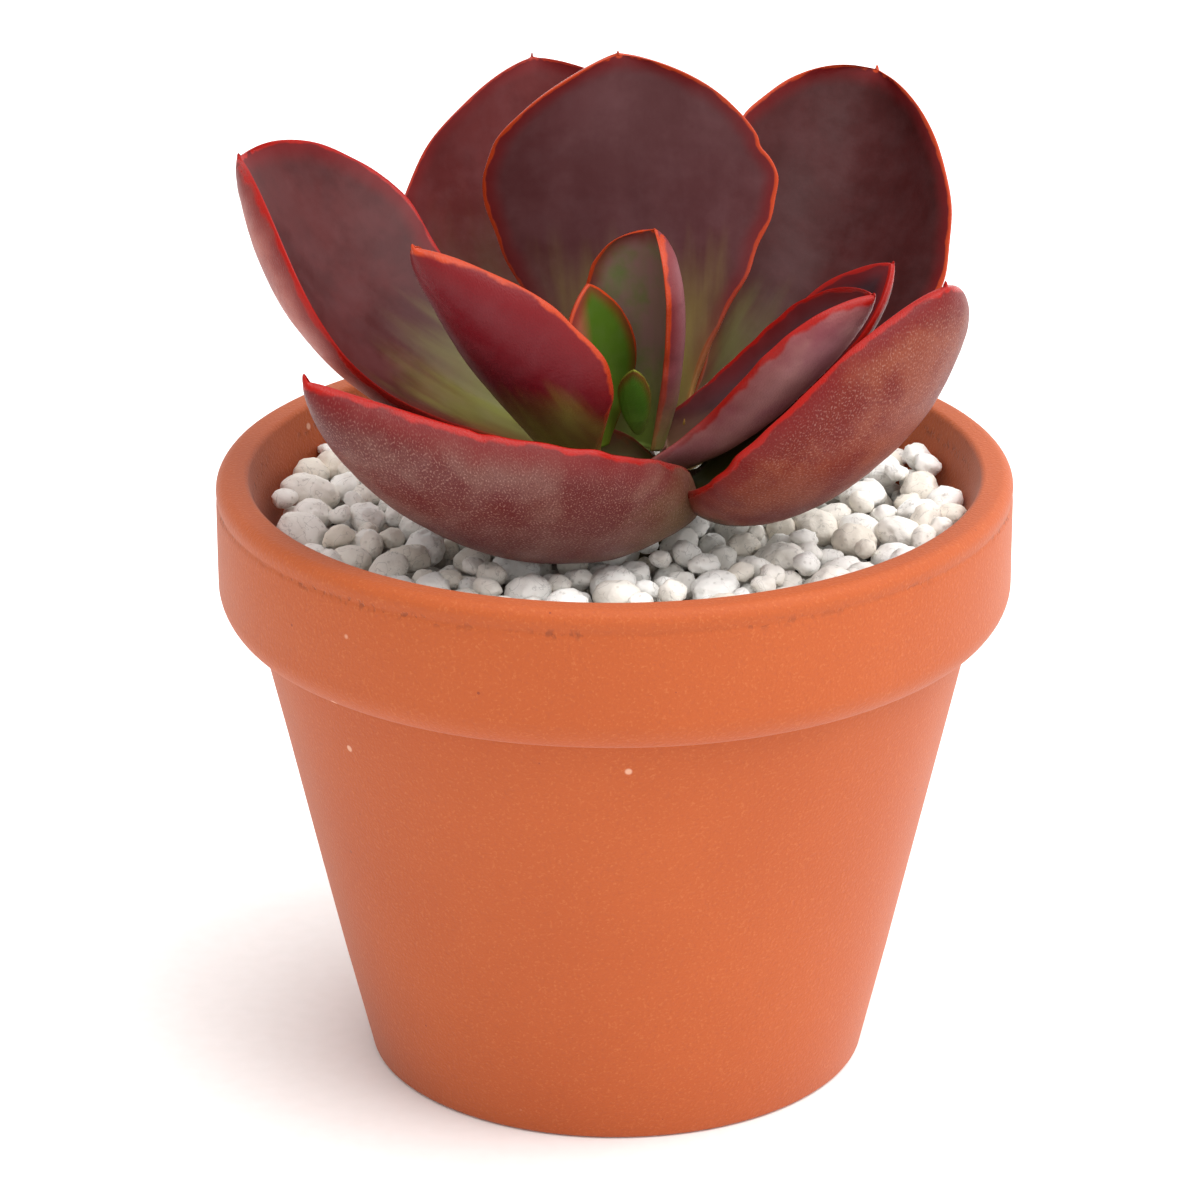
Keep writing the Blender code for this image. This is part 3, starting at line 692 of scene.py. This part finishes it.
STEM_RADIUS = 4.2
SCAR_DEPTH = 0.22
stem_low, stem_high = (corner.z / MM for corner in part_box("stem"))
STEM_ROWS = 60
STEM_SIDES = 40
stem_points = []
for row in range(STEM_ROWS):
    share = row / (STEM_ROWS - 1)
    height = blend((stem_low, stem_high), share)
    slim = min(1.0, 0.8 + 12 * share) * math.sqrt(max(0.0, 1 - max(0.0, (share - 0.88) / 0.12) ** 2)) + 0.01
    for k in range(STEM_SIDES):
        turn = -2 * math.pi * k / STEM_SIDES
        scar = max(0.0, math.sin(3 * turn + height * 1.6)) * max(0.0, math.sin(2 * turn - height * 1.6))
        radius = (STEM_RADIUS - SCAR_DEPTH * scar) * slim * 0.97
        radius += 0.08 * noise.noise(Vector((math.cos(turn) * 3, math.sin(turn) * 3, height)))
        stem_points.append((STEM.x + radius * math.cos(turn), STEM.y + radius * math.sin(turn), height))
stem_points += [(STEM.x, STEM.y, stem_low), (STEM.x, STEM.y, stem_high)]
stem_mesh = bpy.data.meshes.new("stem_bark")
stem_mesh.from_pydata([Vector(p) * MM for p in stem_points], [], ring_faces(STEM_ROWS, STEM_SIDES))
stem_mesh.shade_smooth()

# Corky bark: greyish brown where it is old, olive where it is young, dull and finely cracked.
bark, tree, shader = new_material("stem_bark", 0.75)
place = add(tree, "ShaderNodeTexCoord", out=3)
cracks = add(tree, "ShaderNodeTexNoise", place, Scale=1 / 0.0012, Detail=4.0)
color = add(tree, "ShaderNodeMix", cracks, data_type="RGBA", A=paint("#3E3A1C"), B=paint("#6E5A38"))
tree.links.new(color, shader.inputs["Base Color"])
bump = add(tree, "ShaderNodeBump", Strength=0.6, Distance=0.0003, Height=cracks)
tree.links.new(bump, shader.inputs["Normal"])
stem_mesh.materials.append(bark)
stem = bpy.data.objects.new("stem_and_scars", stem_mesh)
bpy.context.collection.objects.link(stem)
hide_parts("stem")
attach(stem, "root")


# ---------------------------------------------------------------- white stones
# Crushed white limestone, tumbled until its corners went round, 3 to 8 mm across. It lies over the
# soil two or three stones deep: forty of the stones have nodes of their own, and the others are poured
# in under them and round them.

def make_limestone(name, painted_shade):
    """Tumbled white limestone: chalky, with grey and cream patches, fine dark seams and a rough skin
    full of small pits. The second argument greys the stones: painted shade for those buried down in the
    gaps."""
    material, tree, shader = new_material(name, 0.72)
    place = add(tree, "ShaderNodeTexCoord", out=3)
    tone = add(tree, "ShaderNodeAttribute", attribute_name="tone", out=2)
    color = add(tree, "ShaderNodeMix", tone, data_type="RGBA", A=paint("#FFFEFA"), B=paint("#EBE3D5"))
    patches = add(tree, "ShaderNodeTexNoise", place, Scale=1 / 0.0045, Detail=3.0)
    patches = add(tree, "ShaderNodeMapRange", patches, 0.54, 0.72, 0.0, 0.35)
    color = add(tree, "ShaderNodeMix", patches, data_type="RGBA", A=color, B=paint("#C0B6A4"))
    veins = add(tree, "ShaderNodeTexNoise", place, Scale=1 / 0.0032, Detail=3.0, Distortion=0.6)
    veins = add(tree, "ShaderNodeMath", veins, 0.5, operation="SUBTRACT")
    veins = add(tree, "ShaderNodeMath", veins, operation="ABSOLUTE")
    veins = add(tree, "ShaderNodeMapRange", veins, 0.012, 0.0, 0.0, 0.38)
    color = add(tree, "ShaderNodeMix", veins, data_type="RGBA", A=color, B=paint("#7E7A74"))
    pits = add(tree, "ShaderNodeTexVoronoi", place, Scale=1 / 0.0013)
    pit = add(tree, "ShaderNodeMapRange", pits, 0.22, 0.10, 0.0, 0.35)
    color = add(tree, "ShaderNodeMix", pit, data_type="RGBA", A=color, B=paint("#A8A197"))
    # Painted shade: the buried stones are mixed towards grey, as the gaps they lie in are dim.
    color = add(tree, "ShaderNodeMix", painted_shade, data_type="RGBA", A=color, B=paint("#8C857A"))
    tree.links.new(color, shader.inputs["Base Color"])
    skin = add(tree, "ShaderNodeTexNoise", place, Scale=1 / 0.0007, Detail=4.0, Roughness=0.6)
    relief = add(tree, "ShaderNodeMath", pit, -1.0, skin, operation="MULTIPLY_ADD")
    bump = add(tree, "ShaderNodeBump", Strength=0.55, Distance=0.00025, Height=relief)
    tree.links.new(bump, shader.inputs["Normal"])
    return material


limestone = make_limestone("white_limestone", 0.0)
# The lower layer takes the painted shade, as it shows only down in the gaps between the top stones.
buried_limestone = make_limestone("shaded_limestone", 0.5)
chance = random.Random(8)
placed = []                   # middle and radius of each stone, in metres


def lumpy(point, shift, size, depth):
    """How far a stone's skin stands out at a point: rounded lumps with creases between them."""
    lump = noise.noise(point / size + shift) + 0.5 * noise.noise(point / size * 2.1 - shift)
    return depth * (0.35 - abs(lump) * 1.1 + 0.3 * lump)


for number in range(1, 1 + sum(node.startswith("pebble_") for node in frame["nodes"])):
    node = "pebble_%02d" % number
    low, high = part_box(node)
    stone_bm = bmesh.new()
    stone_bm.from_mesh(frame["nodes"][node].data)
    bmesh.ops.remove_doubles(stone_bm, verts=stone_bm.verts, dist=1e-6)
    bmesh.ops.subdivide_edges(stone_bm, edges=stone_bm.edges, cuts=3, use_grid_fill=True, smooth=1.0)
    shift = Vector([chance.uniform(-50, 50) for _ in range(3)])
    stone_bm.normal_update()
    middle = (low + high) / 2
    lump_size = chance.uniform(2.0, 3.4) * MM
    for vert in stone_bm.verts:
        vert.co += vert.normal * lumpy(vert.co - middle, shift, lump_size, 0.42 * MM)
    mesh = bpy.data.meshes.new(node)
    stone_bm.to_mesh(mesh)
    stone_bm.free()
    mesh.shade_smooth()
    tone = mesh.attributes.new("tone", "FLOAT", "POINT")
    tone.data.foreach_set("value", [chance.random() ** 2] * len(mesh.vertices))
    mesh.materials.append(limestone)
    stone = bpy.data.objects.new("stone_%02d" % number, mesh)
    bpy.context.collection.objects.link(stone)
    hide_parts(node)
    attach(stone, "root")
    placed.append((middle, ((high - low).x + (high - low).y + (high - low).z) / 6))

verts, faces = [], []
for blade in leaves:
    first = len(verts)
    verts += [v.co for v in blade.data.vertices]
    faces += [[first + i for i in face.vertices] for face in blade.data.polygons]
leaf_skins = BVHTree.FromPolygons(verts, faces)


def pour(count, radii, floor, top, stones, tries):
    """Drop stones one at a time, each into the lowest of a few places where it can rest."""
    poured = []
    for _ in range(count):
        radius = radii[0] + (radii[1] - radii[0]) * chance.random() ** 1.3
        middles = np.array([s[0] for s in stones]) if stones else np.zeros((0, 3))
        sizes = np.array([s[1] for s in stones])
        best = None
        for _ in range(tries):
            reach = (inner_wall_radius(top) - radius) * math.sqrt(chance.random())
            way = chance.uniform(0, 2 * math.pi)
            spot = np.array([reach * math.cos(way), reach * math.sin(way)])
            height = floor + radius
            if stones:
                gap = np.hypot(*(middles[:, :2] - spot).T)
                near = gap < sizes + radius
                if near.any():
                    lifts = middles[near, 2] + np.sqrt((sizes[near] + radius) ** 2 - gap[near] ** 2)
                    height = max(height, lifts.max())
            fits = reach + radius * 1.05 < inner_wall_radius(height)
            if fits and (best is None or height < best[2]):
                best = (spot[0], spot[1], height)
        if best is None or best[2] + radius * 0.85 > top:
            continue
        middle = Vector(best)
        nearest = leaf_skins.find_nearest(middle)
        if nearest[3] < radius * 0.95:
            continue
        inside = (middle - nearest[0]).dot(nearest[1]) < 0
        if inside or (middle.xy - STEM.xy * MM).length < (STEM_RADIUS * MM + radius):
            continue
        stones.append((middle, radius))
        poured.append((middle, radius))
    return poured


LOWER_COUNT = 900             # stones to try: one that finds no room is left out
LOWER_RADII = (2.1 * MM, 3.0 * MM)
LOWER_TOP = 77.6 * MM
UPPER_COUNT = 1700
UPPER_RADII = (1.5 * MM, 4.0 * MM)
UPPER_TOP = 82.2 * MM
bed_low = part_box("gravel_bed")[0].z
lower = pour(LOWER_COUNT, LOWER_RADII, bed_low, LOWER_TOP, [], 12)
upper = pour(UPPER_COUNT, UPPER_RADII, bed_low, UPPER_TOP, placed + lower, 14)


def stone_shape(name, detail, collection):
    """One tumbled stone of radius 1 to be repeated, flattened and lumpy."""
    stone_bm = bmesh.new()
    bmesh.ops.create_icosphere(stone_bm, subdivisions=detail, radius=1.0)
    shift = Vector([chance.uniform(-50, 50) for _ in range(3)])
    flatness = Vector((chance.uniform(1.0, 1.35), chance.uniform(0.85, 1.05), chance.uniform(0.7, 0.9)))
    for vert in stone_bm.verts:
        push = lumpy(vert.co, shift, 1.1, 0.32)
        vert.co = vert.co * (1 + push) * flatness
    mesh = bpy.data.meshes.new(name)
    stone_bm.to_mesh(mesh)
    stone_bm.free()
    shape = bpy.data.objects.new(name, mesh)
    collection.objects.link(shape)


def stone_spots(name, stones, kinds):
    """One point per stone, with the size, turn, kind and tone that the stone there takes."""
    mesh = bpy.data.meshes.new(name)
    mesh.from_pydata([middle for middle, _ in stones], [], [])
    spins = [[chance.uniform(-0.5, 0.5), chance.uniform(-0.5, 0.5), chance.uniform(0, 6.28)]
             for _ in stones]
    rows = {"size": ("FLOAT", "value", [radius for _, radius in stones]),
            "spin": ("FLOAT_VECTOR", "vector", np.ravel(spins)),
            "kind": ("INT", "value", [chance.randrange(kinds) for _ in stones]),
            "tone": ("FLOAT", "value", [chance.random() ** 2 for _ in stones])}
    for label, (kind, field, values) in rows.items():
        layer = mesh.attributes.new(label, kind, "POINT")
        layer.data.foreach_set(field, values)
    return mesh


def stone_tree():
    """Geometry tree that sets one of the shapes on each spot and roughs up its skin."""
    tree, spots, sizes = new_tree("poured_stones", {"Shapes": "Collection", "Lump size": "Float",
                                                    "Lump depth": "Float", "Stone": "Material"})
    shapes = add(tree, "GeometryNodeCollectionInfo", sizes["Shapes"], True, True)
    kind = add(tree, "GeometryNodeInputNamedAttribute", data_type="INT", Name="kind")
    spin = add(tree, "GeometryNodeInputNamedAttribute", data_type="FLOAT_VECTOR", Name="spin")
    spin = add(tree, "FunctionNodeEulerToRotation", spin)
    size = add(tree, "GeometryNodeInputNamedAttribute", data_type="FLOAT", Name="size")
    stones = add(tree, "GeometryNodeInstanceOnPoints", spots, Instance=shapes, Pick_Instance=True,
                 Instance_Index=kind, Rotation=spin, Scale=size)
    stones = add(tree, "GeometryNodeRealizeInstances", stones)
    per_lump = add(tree, "ShaderNodeMath", 1.0, sizes["Lump size"], operation="DIVIDE")
    lumps = add(tree, "ShaderNodeTexNoise", add(tree, "GeometryNodeInputPosition"),
                Scale=per_lump, Detail=2.0)
    push = add(tree, "ShaderNodeMath", lumps, 0.5, operation="SUBTRACT")
    push = add(tree, "ShaderNodeMath", push, sizes["Lump depth"], operation="MULTIPLY")
    push = add(tree, "ShaderNodeVectorMath", add(tree, "GeometryNodeInputNormal"), push, operation="SCALE")
    stones = add(tree, "GeometryNodeSetPosition", stones, Offset=push)
    close_tree(tree, stones, sizes["Stone"])
    return tree


poured_stones = stone_tree()
KINDS = 14
for name, stones, detail, stone, node, slot in (
        ("stones_between", upper, 3, limestone, None, "white_pebble"),
        ("stones_below", lower, 2, buried_limestone, "gravel_bed", "gravel")):
    shapes = bpy.data.collections.new(name + "_shapes")
    for number in range(KINDS):
        stone_shape("%s_%02d" % (name, number), detail, shapes)
    piece = grow(name, stone_spots(name, stones, KINDS), poured_stones,
                 {"Shapes": shapes, "Lump size": 1.6 * MM, "Lump depth": 0.9 * MM, "Stone": stone})
    for shape in list(shapes.objects):
        bpy.data.objects.remove(shape)
    bpy.data.collections.remove(shapes)
    if node:
        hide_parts(node)
    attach(piece, "root")
